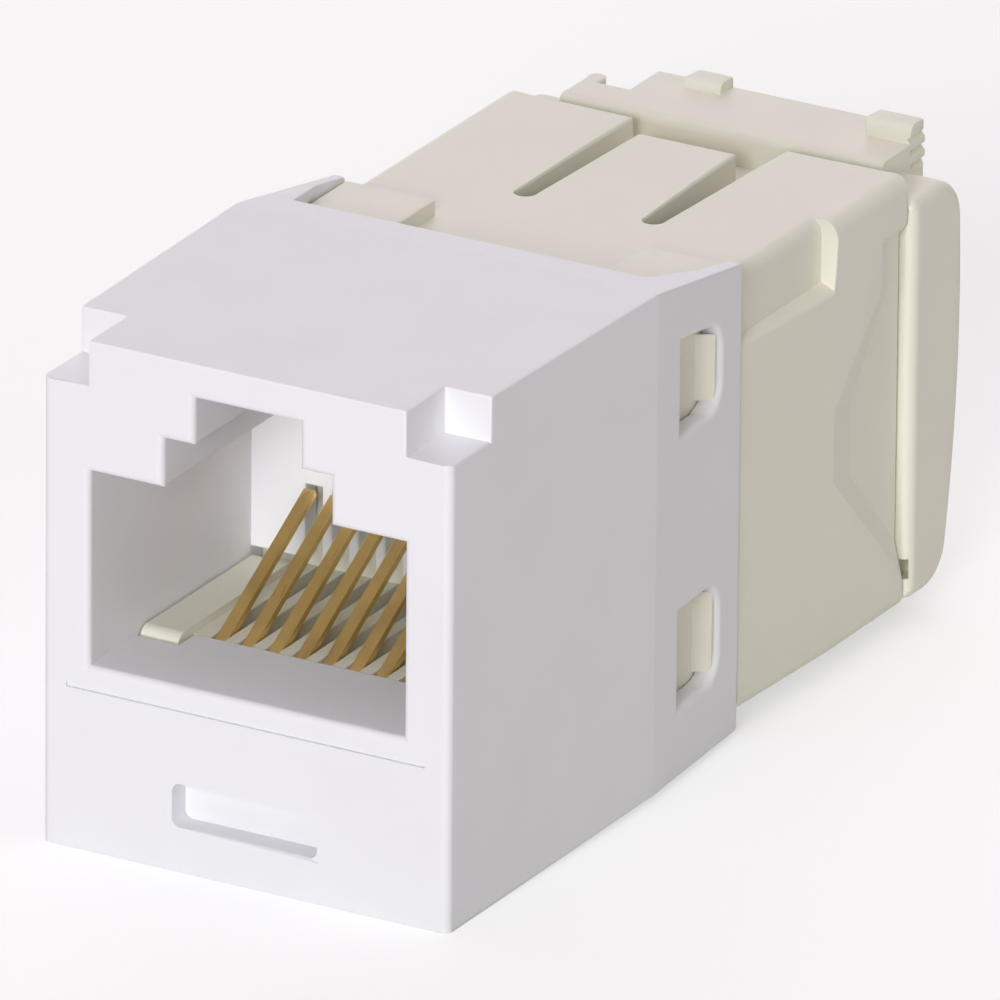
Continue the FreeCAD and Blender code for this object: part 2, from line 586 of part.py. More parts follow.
def cut_collar(body):
    """Hollow collar: open behind the crease between two gussets, with two windows in each side."""
    inside = box_outline(f"-{EAR_INSIDE}", COLLAR_INSIDE, "dim.sleeve_floor", COLLAR_ROOF)
    cut_back(body, "collar_inside", [inside], BACK_FACE, COLLAR_END)
    gusset_end, past = f"{ROOF_END} + dim.gusset_run", f"{COLLAR_END} + dim.cut_margin"
    mouth = [
        (f"({COLLAR_INSIDE} - dim.gusset)", ROOF_END), (COLLAR_INSIDE, gusset_end), (COLLAR_INSIDE, past),
        (f"-{EAR_INSIDE}", past), (f"-{EAR_INSIDE}", gusset_end), (f"-({EAR_INSIDE} - dim.gusset)", ROOF_END),
    ]
    cut_down(body, "collar_mouth", [mouth], HEIGHT, "0")
    upper = [(WINDOW_FRONT, UPPER_SILL), (WINDOW_BACK, UPPER_SILL), (WINDOW_BACK, f"{UPPER_HEAD} - dim.window_fall"),
             (WINDOW_FRONT, UPPER_HEAD)]
    cut_through_sides(body, "collar_windows", [box_outline(WINDOW_FRONT, WINDOW_BACK, LOWER_SILL, LOWER_HEAD), upper])
    back_edge = measure(body, WINDOW_BACK)
    fillet(body, "window_corners", "dim.window_round", lambda e: runs_along(e, ALONG_X) and at_depth(e, back_edge))
    front_edge = measure(body, WINDOW_FRONT)

    def outer_lip(edge):
        box = edge.BoundBox
        out = min(abs(box.XMin), abs(box.XMax))
        across = runs_along(edge, ALONG_X)
        return (box.YMin > front_edge - TOUCH and box.YMax < back_edge + TOUCH and not across
                and out > measure(body, EAR_INSIDE if box.XMax < 0 else COLLAR_INSIDE) + TOUCH)

    fillet(body, "window_lips", "dim.window_lip", outer_lip)


def cut_face_marks(body):
    """Fine groove across the face and the icon pocket under it."""
    groove_half = f"({FACE_HALF} - dim.groove_edge)"
    groove = centred_box("0", "(dim.port_floor - dim.groove_drop)", groove_half, "dim.groove_width / 2")
    cut_back(body, "face_groove", [groove], "0", "dim.groove_depth")
    icon_top = "dim.icon_level + dim.icon_height"
    icon = box_outline("-dim.icon_width / 2", "dim.icon_width / 2", "dim.icon_level", icon_top)
    cut_back(body, "icon_pocket", [icon], "0", "dim.icon_depth")
    top, depth = measure(body, icon_top), measure(body, "dim.icon_depth")
    fillet(body, "icon_corners", "dim.icon_round",
           lambda e: runs_along(e, ALONG_Y) and near(e.Length, depth) and e.BoundBox.ZMax < top + TOUCH)


def finger_inside():
    """Distance of the sled's side fingers from the middle."""
    return "(-" + CONTACT_FIRST + " + dim.contact_width / 2 + dim.finger_gap)"


def contact_channels(body, name, foot, top, start, end):
    """Row of slots that the spring contacts lie in."""
    half = "(dim.contact_width / 2 + dim.seat_gap)"
    slot = box_outline(f"{CONTACT_FIRST} - {half}", f"{CONTACT_FIRST} + {half}", foot, top)
    return repeat_contacts(body, name, cut_back(body, f"{name}_slot", [slot], start, end))


def make_contact_sled():
    """Ivory tray in the port's floor, with side fingers, contact channels and a back flange."""
    body = new_body("contact_sled")
    side, finger_side = f"({PORT_HALF} - dim.seat_gap)", finger_inside()
    pad_up(body, "tray", [tray_plan(side, finger_side, "dim.tray_front", FLANGE_FRONT)], TRAY_FOOT, TRAY_TOP)
    finger_front, finger_top = "dim.tray_front - dim.finger_reach", "dim.port_floor + dim.finger_rise"
    pad_back(body, "fingers", mirrored_box(finger_side, side, TRAY_TOP, finger_top), finger_front, "dim.port_depth")
    flange = box_outline(f"-{BOARD_HALF}", BOARD_HALF, TRAY_FOOT, f"{TRAY_FOOT} + dim.flange_height")
    pad_back(body, "flange", [flange], FLANGE_FRONT, FLANGE_BACK)
    contact_channels(body, "channels", f"{CONTACT_LEVEL} - dim.seat_gap", TRAY_TOP, "dim.tray_front", FLANGE_BACK)
    front, top = measure(body, finger_front), measure(body, finger_top)
    fillet(body, "finger_ends", "dim.finger_round",
           lambda e: runs_along(e, ALONG_X) and at_depth(e, front) and at_level(e, top))
    return body


def make_plug_contact(number):
    """Gold spring contact: board tail, lower leg, front bend and sloping free beam."""
    body = new_body(f"plug_contact_{number}", across=f"{CONTACT_FIRST} + dim.contact_pitch * {number - 1}")
    leg_top = f"{CONTACT_LEVEL} + dim.contact_thick"
    inner_start = f"{BEND_DEPTH} - dim.contact_bend * sin({CONTACT_SLOPE})"
    inner_foot = f"{BEND_LEVEL} + dim.contact_bend * cos({CONTACT_SLOPE})"
    tail = f"{BOARD_BACK} + dim.pin_out"
    profile = [
        (tail, CONTACT_LEVEL), (tail, leg_top), (BEND_DEPTH, leg_top, "-dim.contact_bend"),
        (inner_start, inner_foot), (f"{inner_start} + {BEAM_RUN}", f"{inner_foot} + {BEAM_RISE}"),
        (f"{BEAM_START} + {BEAM_RUN}", CONTACT_HEAD), (BEAM_START, BEAM_FOOT, BEND_OUTER),
        (BEND_DEPTH, CONTACT_LEVEL),
    ]
    sketch = new_sketch(body, "side_profile", "YZ_Plane", "0", [profile])
    pad(body, "strip", sketch, "dim.contact_width", both=True)
    return body


def wire_places():
    """Across and up positions of the eight wire contacts, lower row first."""
    columns = (f"-{WIRE_FAR}", f"-{WIRE_NEAR}", WIRE_NEAR, WIRE_FAR)
    return [(across, up) for up in (WIRE_LOW, WIRE_HIGH) for across in columns]


def wire_openings(width, gap):
    """One opening for each wire contact, with a clearance all round."""
    wide, high = f"({width} / 2 + {gap})", f"(dim.blade_thick / 2 + {gap})"
    return [centred_box(across, up, wide, high) for across, up in wire_places()]


def make_circuit_board():
    """Upright board with a row of holes for the spring contacts and eight for the wire contacts."""
    body = new_body("circuit_board")
    board = box_outline(f"-{BOARD_HALF}", BOARD_HALF, "dim.sleeve_floor + dim.board_inset",
                        f"{COLLAR_ROOF} - dim.board_inset")
    pad_back(body, "board", [board], BOARD_FRONT, BOARD_BACK)
    contact_channels(body, "tail_holes", f"{CONTACT_LEVEL} - dim.seat_gap",
                     f"{CONTACT_LEVEL} + dim.contact_thick + dim.seat_gap", BOARD_FRONT, BOARD_BACK)
    cut_back(body, "pin_holes", wire_openings("dim.pin_width", "dim.seat_gap"), BOARD_FRONT, BOARD_BACK)
    return body


def make_idc_contact(number, across, up):
    """Forked blade that cuts through a wire's sleeve, with a pin to the board."""
    body = new_body(f"idc_contact_{number}", across=across, level=f"{up} - dim.blade_thick / 2")
    pin, blade = "(dim.pin_width / 2)", "(dim.blade_width / 2)"
    slot, mouth = "(dim.fork_slot / 2)", "(dim.fork_mouth / 2)"
    lead, root = f"{BLADE_END} - {mouth}", f"{BLADE_END} - dim.fork_depth"
    right = [(pin, BOARD_FRONT), (pin, CARRIER_FRONT), (blade, CARRIER_FRONT), (blade, BLADE_END),
             (mouth, BLADE_END), (slot, lead)]
    left = [(f"-{x}", depth) for x, depth in reversed(right)]
    pad_up(body, "fork", [right + [(slot, root, HALF_ROUND), (f"-{slot}", root)] + left], "0", "dim.blade_thick")
    return body


def make_rear_body():
    """Ivory moulding: sleeve with snap lugs, carrier wall, widening rear with tongue, panels and scoops."""
    body = new_body("rear_body")
    sleeve = box_outline(f"-{EAR_SLEEVE}", SLEEVE_HALF, SLEEVE_FOOT, BODY_TOP)
    pad_back(body, "sleeve", [sleeve], BODY_FRONT, NECK_FRONT)
    plan = [(NECK_HALF, NECK_FRONT), (BODY_HALF, PANEL_BACK), (BODY_HALF, BODY_BACK), (f"-{EAR_BODY}", BODY_BACK),
            (f"-{EAR_BODY}", NECK_FRONT)]
    pad_up(body, "rear", [plan], BODY_FOOT, BODY_TOP)
    cut_side_panel(body)
    foot, start = measure(body, BODY_FOOT), measure(body, NECK_FRONT)
    fillet(body, "foot_edges", "dim.foot_round",
           lambda e: at_level(e, foot) and not runs_along(e, ALONG_X) and e.BoundBox.YMin > start - TOUCH)
    pad_top = f"{COLLAR_ROOF} - dim.pad_gap"
    pads = [box_outline("dim.pad_inside", SLEEVE_HALF, BODY_TOP, pad_top),
            box_outline(f"-{EAR_SLEEVE}", "-dim.pad_inside", BODY_TOP, pad_top)]
    pad_back(body, "top_pads", pads, BODY_FRONT, f"{COLLAR_END} - dim.pad_end")
    hollow = box_outline(f"-{HOLLOW_HALF}", HOLLOW_HALF, HOLLOW_FLOOR, HOLLOW_ROOF)
    cut_back(body, "cap_hollow", [hollow], CARRIER_BACK, BODY_BACK)
    cut_back(body, "board_hollow", [hollow], BODY_FRONT, CARRIER_FRONT)
    cut_back(body, "blade_seats", wire_openings("dim.blade_width", "dim.seat_gap"), CARRIER_FRONT, CARRIER_BACK)
    cut_tongue(body)
    add_lugs(body)
    cut_scoops(body)
    return body


def cut_side_panel(body):
    """Stepped panel along the top of the right side, over a sloping shelf, and the rounded edges beside the top."""
    outside, above = f"({BODY_HALF} + dim.cut_margin)", f"{BODY_TOP} + dim.cut_margin"
    shelf = f"{BODY_TOP} - dim.panel_drop"
    panel = [(PANEL_HALF, f"{shelf} + dim.panel_fall"), (outside, f"{shelf} - dim.panel_fall"), (outside, above),
             (PANEL_HALF, above)]
    cut_back(body, "side_panel", [panel], NECK_FRONT, PANEL_BACK)
    top = measure(body, BODY_TOP)
    for name, place, radius in (("panel_edge", PANEL_HALF, "dim.panel_round"),
                                ("right_shoulder", BODY_HALF, "dim.shoulder_round"),
                                ("left_shoulder", f"-{EAR_BODY}", "dim.shoulder_round")):
        side = measure(body, place)
        fillet(body, name, radius,
               lambda e: runs_along(e, ALONG_Y) and at_level(e, top) and near(e.CenterOfMass.x, side))


def cut_tongue(body):
    """Free the tongue in the top wall with a slot round three sides."""
    root, tip = "(dim.tongue_width / 2)", "(dim.tongue_tip / 2)"
    outer_root, outer_tip = f"({root} + dim.tongue_slot)", f"({tip} + dim.tongue_slot)"
    front, end = f"({COLLAR_END} + dim.tongue_front)", f"({BODY_BACK} - dim.tongue_end)"
    past = f"({BODY_BACK} + dim.cut_margin)"
    plan = [
        (f"-{root}", front, HALF_ROUND), (f"-{outer_root}", front), (f"-{outer_tip}", past),
        (f"{outer_tip} + dim.tongue_flare", past),
        (outer_root, front, HALF_ROUND), (root, front), (tip, end), (f"-{tip}", end),
    ]
    cut_down(body, "tongue_slots", [plan], BODY_TOP, HOLLOW_ROOF)


def add_lugs(body):
    """Ramped lugs that snap into the collar's four windows."""
    back = f"({WINDOW_BACK} - dim.lug_gap)"
    crest = f"({back} - dim.lug_crest)"
    start = f"({crest} - dim.lug_ramp)"
    ramps = []
    for base, outer, sign in ((SLEEVE_HALF, COLLAR_HALF, ""), (EAR_SLEEVE, CREASE_HALF, "-")):
        foot, tip = f"{sign}{base}", f"{sign}({outer} - dim.lug_inset)"
        ramps.append([(foot, start), (tip, crest), (tip, back), (foot, back)])
    pad_up(body, "lower_lugs", ramps, f"{LOWER_SILL} + dim.lug_gap", f"{LOWER_HEAD} - dim.lug_gap")
    pad_up(body, "upper_lugs", ramps, f"{UPPER_SILL} + dim.lug_gap", f"{UPPER_HEAD} - dim.window_fall - dim.lug_gap")


def cut_scoops(body):
    """Pointed scoops in the sides that lead up to the cap's wings."""
    past = f"({BODY_BACK} + dim.cut_margin)"
    point, neck = f"({BODY_BACK} - dim.scoop_point)", f"({BODY_BACK} - dim.scoop_neck)"
    foot = f"({BODY_FOOT} + dim.scoop_foot)"
    under = f"({foot} - dim.scoop_flank * dim.cut_margin / dim.scoop_point)"
    low = f"({foot} + dim.scoop_flank)"
    high = f"({low} + dim.scoop_blunt)"
    shoulder = f"({high} + dim.scoop_shoulder)"
    head = f"({shoulder} + dim.scoop_head)"
    rim = [(neck, head), (neck, shoulder), (point, high), (point, low), (past, under), (past, head)]
    bed_point, bed_neck = f"{point} + dim.scoop_bevel", f"{neck} + dim.scoop_neck_bevel"
    bed = [(bed_neck, f"{head} - dim.scoop_fall"), (bed_neck, f"{shoulder} - dim.scoop_fall"),
           (bed_point, f"{high} - dim.scoop_fall"), (bed_point, f"{low} - dim.scoop_fall"),
           (past, f"{under} + dim.scoop_lift"), (past, f"{head} - dim.scoop_fall")]
    scoop = cut_loft(body, "side_scoop", "YZ_Plane", [(BODY_HALF, rim), (f"{BODY_HALF} - dim.scoop_depth", bed)])
    mirror_sides(body, "side_scoops", scoop)


def make_wire_cap():
    """Ivory cap: nose with wire slots, top plate with notched back edge, side wings and cable entry."""
    body = new_body("wire_cap")
    pad_back(body, "plate", [box_outline(f"-{PLATE_HALF}", PLATE_HALF, CAP_FOOT, CAP_TOP)], PLATE_FRONT, CAP_BACK)
    pad_back(body, "nose", [box_outline(f"-{NOSE_HALF}", NOSE_HALF, NOSE_FOOT, NOSE_TOP)], NOSE_FRONT, PLATE_FRONT)
    add_wings(body)
    top, lip_depth = measure(body, CAP_TOP), measure(body, PLATE_FRONT)
    fillet(body, "top_lip", "dim.lip_edge",
           lambda e: runs_along(e, ALONG_X) and at_depth(e, lip_depth) and at_level(e, top))
    add_top_tabs(body)
    sketch = new_sketch(body, "cable_entry_outline", "XZ_Plane", f"-{CAP_BACK}", [])
    add_circle(body, sketch, "0", f"({CAP_FOOT} + {CAP_TOP}) / 2", "dim.cable_bore")
    doc.recompute()
    pocket(body, "cable_entry", sketch, "dim.cap_reach + dim.cap_nose", flip=True)
    slots = [centred_box(across, f"({NOSE_FOOT} + {NOSE_TOP}) / 2", "dim.wire_slot / 2",
                         f"(({NOSE_TOP} - {NOSE_FOOT}) / 2 + dim.cut_margin)")
             for across in (f"-{WIRE_FAR}", f"-{WIRE_NEAR}", WIRE_NEAR, WIRE_FAR)]
    cut_back(body, "wire_slots", slots, NOSE_FRONT, f"{NOSE_FRONT} + dim.wire_lay")
    cut_back(body, "blade_slots", wire_openings("dim.blade_width", "dim.slide_gap"), NOSE_FRONT,
             f"{BLADE_END} + dim.seat_gap")
    return body


def add_wings(body):
    """Bowed wings that cover the rear body's back edge on both sides."""
    foot_back, top_back = f"({CAP_FRONT} + dim.wing_foot)", f"({CAP_FRONT} + dim.wing_top)"
    foot, top = f"({BODY_FOOT} + dim.wing_lift)", f"({BODY_TOP} - dim.wing_drop)"
    side = [(CAP_FRONT, foot), (foot_back, foot, "dim.wing_bow"), (top_back, top), (CAP_FRONT, top)]
    sketch = new_sketch(body, "wing_outline", "YZ_Plane", WING_HALF, [side])
    wing = pad(body, "wing", sketch, f"{WING_HALF} - {PLATE_HALF} + dim.wing_root", flip=True)
    mirror_sides(body, "wings", wing)
    outer, front = measure(body, WING_HALF), measure(body, CAP_FRONT)
    corners = [(measure(body, depth), measure(body, up)) for depth, up in ((foot_back, foot), (top_back, top))]
    fillet(body, "wing_corners", "dim.wing_corner",
           lambda e: runs_along(e, ALONG_X) and any(at_depth(e, depth) and at_level(e, up) for depth, up in corners))
    for name, radius, ahead in (("wing_edges", "dim.wing_round", False), ("wing_fronts", "dim.wing_front", True)):
        fillet(body, name, radius, lambda e: near(abs(e.CenterOfMass.x), outer) and near(e.BoundBox.XLength, 0)
               and at_depth(e, front) == ahead)
    level = f"({BODY_FOOT} + dim.pocket_level)"
    hollow = mirrored_box(f"({BODY_HALF} - dim.scoop_depth)", f"({WING_HALF} - dim.pocket_skin)", level,
                          f"{level} + dim.foot_pocket")
    cut_back(body, "foot_pockets", hollow, CAP_FRONT, f"{CAP_FRONT} + dim.pocket_depth")


def add_top_tabs(body):
    """Back edge of the top plate: wire notch, short corner, raised tab and grooved corner post."""
    past = f"({CAP_BACK} + dim.cut_margin)"
    above, below = f"({CAP_TOP} + dim.cut_margin)", f"({CAP_FOOT} - dim.cut_margin)"
    notch_left = f"(-{PLATE_HALF} + dim.trim_edge)"
    notch = box_outline(notch_left, f"{notch_left} + dim.trim_width", f"{CAP_BACK} - dim.trim_depth", past)
    trim_foot = f"{CAP_TOP} - dim.trim_drop"
    cut_down(body, "wire_notch", [notch], above, trim_foot)
    corner = box_outline(f"-{PLATE_HALF} - dim.cut_margin", notch_left, f"{CAP_BACK} - dim.corner_cut", past)
    cut_down(body, "short_corner", [corner], above, trim_foot)
    short_edge = measure(body, f"{CAP_BACK} - dim.corner_cut")
    fillet(body, "short_corners", "dim.trim_round", lambda e: runs_along(e, ALONG_Z) and at_depth(e, short_edge))
    tab_top = f"{CAP_TOP} + dim.tab_rise"
    tab = box_outline("-dim.tab_offset - dim.tab_width", "-dim.tab_offset", CAP_TOP, tab_top)
    pad_back(body, "raised_tab", [tab], f"{CAP_BACK} - dim.tab_length", CAP_BACK)
    post_left = f"({PLATE_HALF} - dim.post_width)"
    post_back = f"({CAP_BACK} - dim.post_end)"
    post_front = f"({post_back} - dim.post_length)"
    post_top = f"{CAP_TOP} + dim.post_rise"
    pad_back(body, "corner_post", [box_outline(post_left, PLATE_HALF, CAP_TOP, post_top)], post_front, post_back)
    cut_down(body, "post_corner", [box_outline(post_left, f"{PLATE_HALF} + dim.cut_margin", post_back, past)],
             above, below)
    grooves = []
    for number in range(1, POST_GROOVES + 1):
        level = f"{post_top} - dim.rib_pitch * {number}"
        grooves.append([(PLATE_HALF, f"{level} - dim.rib_depth"), (PLATE_HALF, f"{level} + dim.rib_depth"),
                        (f"{PLATE_HALF} - dim.rib_depth", level)])
    cut_back(body, "post_grooves", grooves, post_front, post_back)


def main():
    """Build every piece, check it and write its file."""
    pieces = [make_front_housing(), make_contact_sled()]
    pieces += [make_plug_contact(number) for number in range(1, CONTACTS + 1)]
    pieces.append(make_circuit_board())
    pieces += [make_idc_contact(number, *place) for number, place in enumerate(wire_places(), start=1)]
    pieces += [make_rear_body(), make_wire_cap()]
    doc.recompute()
    failed = [item.Name for item in doc.Objects if {"Invalid", "Error"} & set(item.State)]
    if failed:
        raise RuntimeError(f"failed objects: {failed}")
    for piece in pieces:
        if piece.Shape.isNull() or not piece.Shape.isValid() or len(piece.Shape.Solids) != 1:
            raise RuntimeError(f"{piece.Label} is not one sound solid")
    os.makedirs("parts", exist_ok=True)
    for piece in pieces:
        piece.Shape.exportStep(os.path.join("parts", f"{piece.Label}.step"))
        print(piece.Label, round(piece.Shape.Volume, 3), piece.Shape.BoundBox)


main()
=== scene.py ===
"""Ethernet jack dressed for its picture: softened mouldings, plated contacts, board and a plain studio.

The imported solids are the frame. Each moulding and each spring contact is copied from its solid, welded, softened
along its edges and shown in place of the solid. A few small forms of the rear body, the cap and the sled change
before that. The board and the wire contacts keep their solids and get finishes.
"""
import math

import bmesh
import bpy
from bpy.props import FloatProperty, FloatVectorProperty, IntProperty, PointerProperty
from bpy.types import Operator, Panel, PropertyGroup
from mathutils import Matrix, Vector


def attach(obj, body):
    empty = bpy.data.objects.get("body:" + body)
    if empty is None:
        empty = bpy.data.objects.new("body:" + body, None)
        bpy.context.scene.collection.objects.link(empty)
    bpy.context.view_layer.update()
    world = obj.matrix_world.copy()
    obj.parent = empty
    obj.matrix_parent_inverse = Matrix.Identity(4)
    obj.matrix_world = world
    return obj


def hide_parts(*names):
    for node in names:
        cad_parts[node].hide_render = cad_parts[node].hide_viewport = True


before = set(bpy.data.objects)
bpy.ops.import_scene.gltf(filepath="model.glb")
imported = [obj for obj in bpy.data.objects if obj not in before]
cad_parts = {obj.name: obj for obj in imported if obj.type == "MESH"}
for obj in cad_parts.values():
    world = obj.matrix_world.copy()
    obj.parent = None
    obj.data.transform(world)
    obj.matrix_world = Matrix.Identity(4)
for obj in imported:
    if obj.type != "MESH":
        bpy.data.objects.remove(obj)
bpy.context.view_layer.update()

bl_info = {
    "name": "Ethernet jack",
    "version": (1, 0, 0),
    "blender": (4, 5, 0),
    "location": "View3D > Sidebar > Jack",
    "description": "Softens and finishes the pieces of an ethernet jack and sets its studio",
    "category": "Object",
}

# Limits for the copies, which are edited in millimetres
MILLIMETRES = 1000.0
WELD_GAP = 0.002
FLAT_ANGLE = math.radians(0.6)
EDGE_ANGLE = math.radians(36.0)
SMOOTH_ANGLE = math.radians(38.0)
CREASE_ANGLE = math.radians(4.5)
CREASE_REACH = 0.8
ROOM_FACTOR = 2.3
ROUND_STEPS = 4
NEAR = 0.006

# Places and sizes of the forms that the copies change, in millimetres
LUG_SIDE = 6.6
LUG_CREST = (-0.15, 0.05)
LUG_REACH = 0.24
LUG_ROUND = 0.42
WING_SIDE, WING_FRONT, WING_ROUND = 8.0, 12.95, 0.18
WING_ENDS = (1.34, 15.01)
WING_SOFTER = (2.0, 2.5)
WING_BAND = 2.5 * WING_ROUND
FINGER_FRONT, FINGER_TOP, FINGER_ROUND = -14.35, 6.85, 0.2
FINGER_SOFTER = 2.4
TAB_EDGE, TAB_ROUND = (16.6, 16.47), 0.3
POST_EDGE, POST_ROUND = (15.9, 16.76), 0.33
POCKET_LOW, POCKET_HIGH = (7.49, 12.8, 1.74), (7.9, 13.76, 2.46)

# Finishes: grains per metre with their detail, tones, gloss, relief, and the pull that draws a grain into lines
GRAIN_SPAN = (0.3, 0.7)
PLASTIC_CLOUD, PLASTIC_GRAIN = (260.0, 2.0), (5200.0, 2.0)
PLASTIC_TONES, PLASTIC_GLOSS = (0.985, 1.01), (-0.07, 0.07)
PLASTIC_RELIEF, PLASTIC_IOR = (0.12, 0.00002), 1.52
PLATING_LINES, PLATING_CLOUD = (1000.0, 4.0), (500.0, 2.0)
PLATING_TONES, PLATING_GLOSS = (0.86, 1.1), (-0.08, 0.1)
PLATING_RELIEF = (0.15, 0.00001)
GOLD_ROUGHNESS, GOLD_PULL = 0.34, (9.0, 0.6, 0.6)
TIN_ROUGHNESS, TIN_PULL = 0.36, (0.6, 0.6, 9.0)
BOARD_TRACKS, BOARD_WEAVE, TRACK_PULL = (700.0, 0.0), (4000.0, 1.0), (1.0, 1.0, 0.25)
BOARD_TONES, BOARD_GLOSS = (0.8, 1.5), (0.22, 0.34)
BOARD_RELIEF = (0.1, 0.00001)

# Floor: side in metres, grey of the paper, its glow, and the grey that lights the jack from below
FLOOR_SIDE, FLOOR_PAPER, FLOOR_GLOW, FLOOR_BOUNCE = 4.0, 0.62, 0.52, 0.75

# Direction that each light comes from, its spread in degrees and its tint
LIGHTS = {
    "front_light": ((0.05, -1.0, 0.06), 9.0, (1.0, 1.0, 1.0)),
    "top_light": ((-0.15, 0.1, 1.0), 70.0, (1.0, 0.89, 0.98)),
    "side_light": ((1.0, -0.15, 0.2), 60.0, (1.0, 0.99, 0.86)),
    "back_light": ((-0.6, 0.8, 0.12), 70.0, (1.0, 0.96, 1.0)),
    "near_light": ((0.28, -0.88, 0.36), 18.0, (1.0, 1.0, 1.0)),
}

# Nearest thing that the camera draws, as a share of its distance
CLIP_SHARE = 0.01

PLUG_CONTACTS = sorted(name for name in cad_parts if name.startswith("plug_contact"))
WIRE_CONTACTS = sorted(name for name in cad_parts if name.startswith("idc_contact"))


class JackFinishes(PropertyGroup):
    """Colours and gloss of the mouldings, the plating and the board."""
    white: FloatVectorProperty(
        name="White plastic", description="Colour of the front housing",
        default=(0.855, 0.855, 0.885), min=0.0, max=1.0, subtype="COLOR")
    ivory: FloatVectorProperty(
        name="Ivory plastic", description="Colour of the rear body, the cap and the sled",
        default=(0.845, 0.83, 0.715), min=0.0, max=1.0, subtype="COLOR")
    gold: FloatVectorProperty(
        name="Gold plating", description="Colour of the spring contacts",
        default=(0.80, 0.57, 0.215), min=0.0, max=1.0, subtype="COLOR")
    tin: FloatVectorProperty(
        name="Tin plating", description="Colour of the wire contacts",
        default=(0.70, 0.69, 0.66), min=0.0, max=1.0, subtype="COLOR")
    mask: FloatVectorProperty(
        name="Board lacquer", description="Colour of the circuit board",
        default=(0.025, 0.16, 0.06), min=0.0, max=1.0, subtype="COLOR")
    gloss: FloatProperty(
        name="Plastic roughness", description="Middle of the mouldings' roughness",
        default=0.46, min=0.05, max=1.0, subtype="FACTOR")


class JackEdges(PropertyGroup):
    """Width of the softened edges."""
    moulding: FloatProperty(
        name="Moulding edge", description="Width of the soft edges of the mouldings",
        default=0.00013, min=0.0, max=0.0005, unit="LENGTH", precision=5)
    sled: FloatProperty(
        name="Sled edge", description="Width of the soft edges of the sled",
        default=0.00005, min=0.0, max=0.0003, unit="LENGTH", precision=5)
    contact: FloatProperty(
        name="Contact edge", description="Width of the soft edges of the spring contacts",
        default=0.00004, min=0.0, max=0.0001, unit="LENGTH", precision=5)
    steps: IntProperty(
        name="Edge steps", description="Number of facets across a soft edge", default=2, min=1, max=6)


class JackStage(PropertyGroup):
    """Camera and light."""
    azimuth: FloatProperty(
        name="Azimuth", description="Turn of the camera round the jack",
        default=math.radians(29.564), subtype="ANGLE")
    elevation: FloatProperty(
        name="Elevation", description="Height of the camera above the horizon",
        default=math.radians(22.306), subtype="ANGLE")
    roll: FloatProperty(
        name="Roll", description="Lean of the camera", default=math.radians(0.5), subtype="ANGLE")
    distance: FloatProperty(
        name="Distance", description="Camera to the middle of the view", default=0.9, min=0.05, unit="LENGTH")
    aim: FloatVectorProperty(
        name="Aim", description="Point of the jack that the view is measured from",
        default=(0.0, -0.0026, 0.009), subtype="TRANSLATION", unit="LENGTH", precision=5)
    offset: FloatVectorProperty(
        name="Offset", description="Middle of the view, right of and above the aim",
        default=(0.000882, -0.0004925), size=2, unit="LENGTH", precision=6)
    lens: FloatProperty(
        name="Lens", description="Focal length on a 36 mm sensor, in millimetres", default=978.25, min=10.0)
    ambient: FloatProperty(
        name="Ambient", description="Strength of the light from all round", default=0.06, min=0.0)
    front_light: FloatProperty(
        name="Front light", description="Strength of the light on the face", default=1.05, min=0.0)
    top_light: FloatProperty(
        name="Top light", description="Strength of the light from above", default=1.16, min=0.0)
    side_light: FloatProperty(
        name="Side light", description="Strength of the fill light from the right", default=0.56, min=0.0)
    back_light: FloatProperty(
        name="Back light", description="Strength of the fill light from behind", default=0.9, min=0.0)
    near_light: FloatProperty(
        name="Near light", description="Strength of the fill light beside the camera", default=1.14, min=0.0)


def only_select(piece):
    """Select one object and make it active."""
    bpy.ops.object.select_all(action="DESELECT")
    piece.select_set(True)
    bpy.context.view_layer.objects.active = piece


def scale_mesh(factor):
    """Scale all of the mesh in edit mode about the origin."""
    bpy.ops.mesh.select_all(action="SELECT")
    bpy.ops.transform.resize(value=(factor,) * 3, center_override=(0.0, 0.0, 0.0))


def welded_copy(node, name):
    """Copy of a solid's mesh as one closed skin in millimetres, left in edit mode."""
    bpy.ops.object.select_all(action="DESELECT")
    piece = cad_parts[node].copy()
    piece.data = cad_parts[node].data.copy()
    piece.name = piece.data.name = name
    piece.parent = None
    for key in list(piece.keys()):
        del piece[key]
    bpy.context.scene.collection.objects.link(piece)
    only_select(piece)
    bpy.ops.mesh.customdata_custom_splitnormals_clear()
    bpy.ops.object.mode_set(mode="EDIT")
    scale_mesh(MILLIMETRES)
    bpy.ops.mesh.remove_doubles(threshold=WELD_GAP)
    bpy.ops.mesh.dissolve_limited(angle_limit=FLAT_ANGLE, delimit={"NORMAL"})
    return piece


def narrow_side(edge):
    """Reach of the narrower of an edge's two faces, square to the edge."""
    start = edge.verts[0].co
    along = (edge.verts[1].co - start).normalized()
    reaches = []
    for face in edge.link_faces:
        across = face.normal.cross(along)
        reaches.append(max(abs((corner.co - start).dot(across)) for corner in face.verts))
    return min(reaches)


def has_room(edge, width):
    """True where an edge and both its faces leave room for a soft edge of that width."""
    return min(edge.calc_length(), narrow_side(edge)) > ROOM_FACTOR * width


def select_items(piece, kind, test):
    """Select the corners or the inner edges that pass a test, in edit mode."""
    bpy.ops.mesh.select_all(action="DESELECT")
    bpy.ops.mesh.select_mode(type=kind)
    mesh = bmesh.from_edit_mesh(piece.data)
    items = mesh.verts if kind == "VERT" else [edge for edge in mesh.edges if len(edge.link_faces) == 2]
    found = [item for item in items if test(item)]
    for item in found:
        item.select_set(True)
    bmesh.update_edit_mesh(piece.data)
    return len(found)


